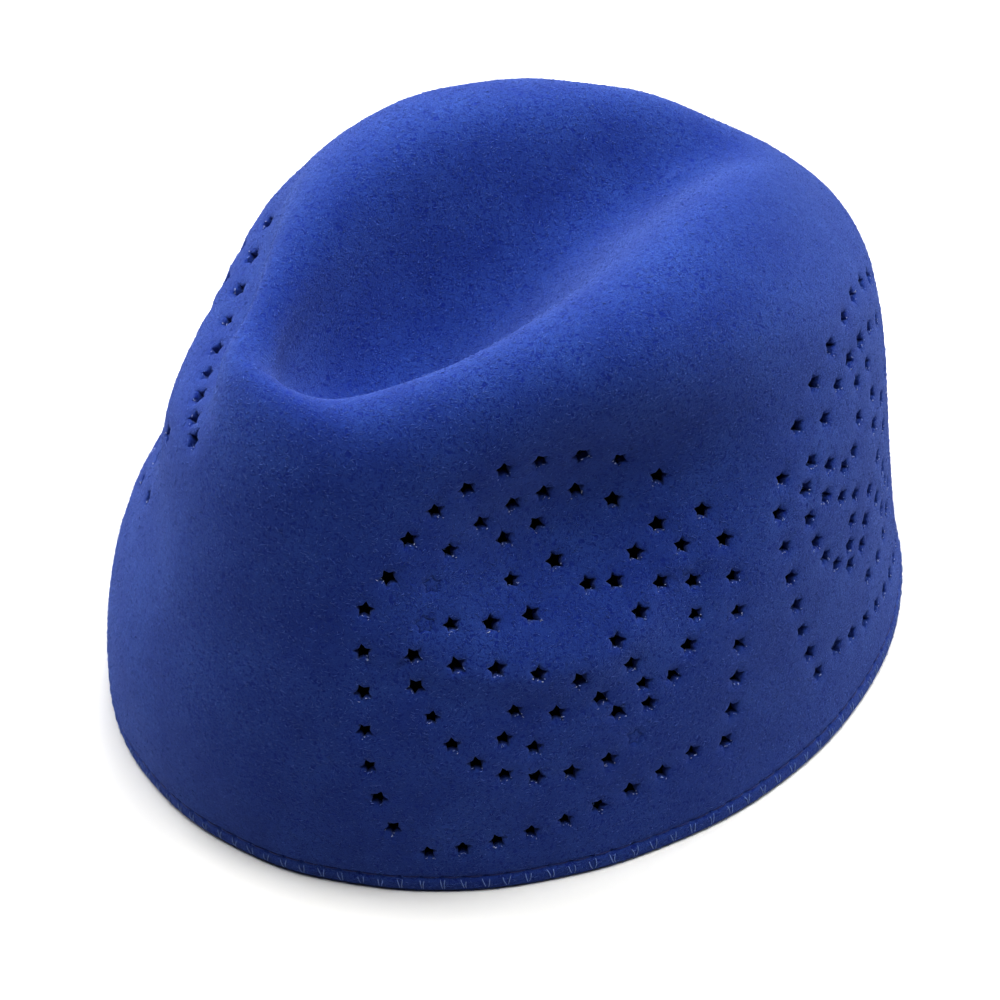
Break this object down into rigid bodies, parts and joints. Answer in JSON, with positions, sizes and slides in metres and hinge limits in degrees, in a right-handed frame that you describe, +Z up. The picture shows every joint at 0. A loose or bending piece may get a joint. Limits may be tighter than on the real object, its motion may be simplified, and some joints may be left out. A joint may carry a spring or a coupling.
{
  "type": "brimless felt cap with a creased crown",
  "caption": "Soft brimless cap of pressed wool felt with a pinched front, a long crease along the crown and punched star panels round its sides.",
  "frame": {"origin": "centre of the cap's bounding box at the bottom, in the plane of the rim's edge", "axes": "+Z up out of the crown, -Y towards the front, pinched end of the cap, +X towards the wearer's left"},
  "size_m": [0.164, 0.1977, 0.1164],
  "materials": {
    "felt": "short-napped wool felt, matte, royal blue"
  },
  "bodies": {
    "root": {"felt_cap": "felt"}
  },
  "joints": []
}
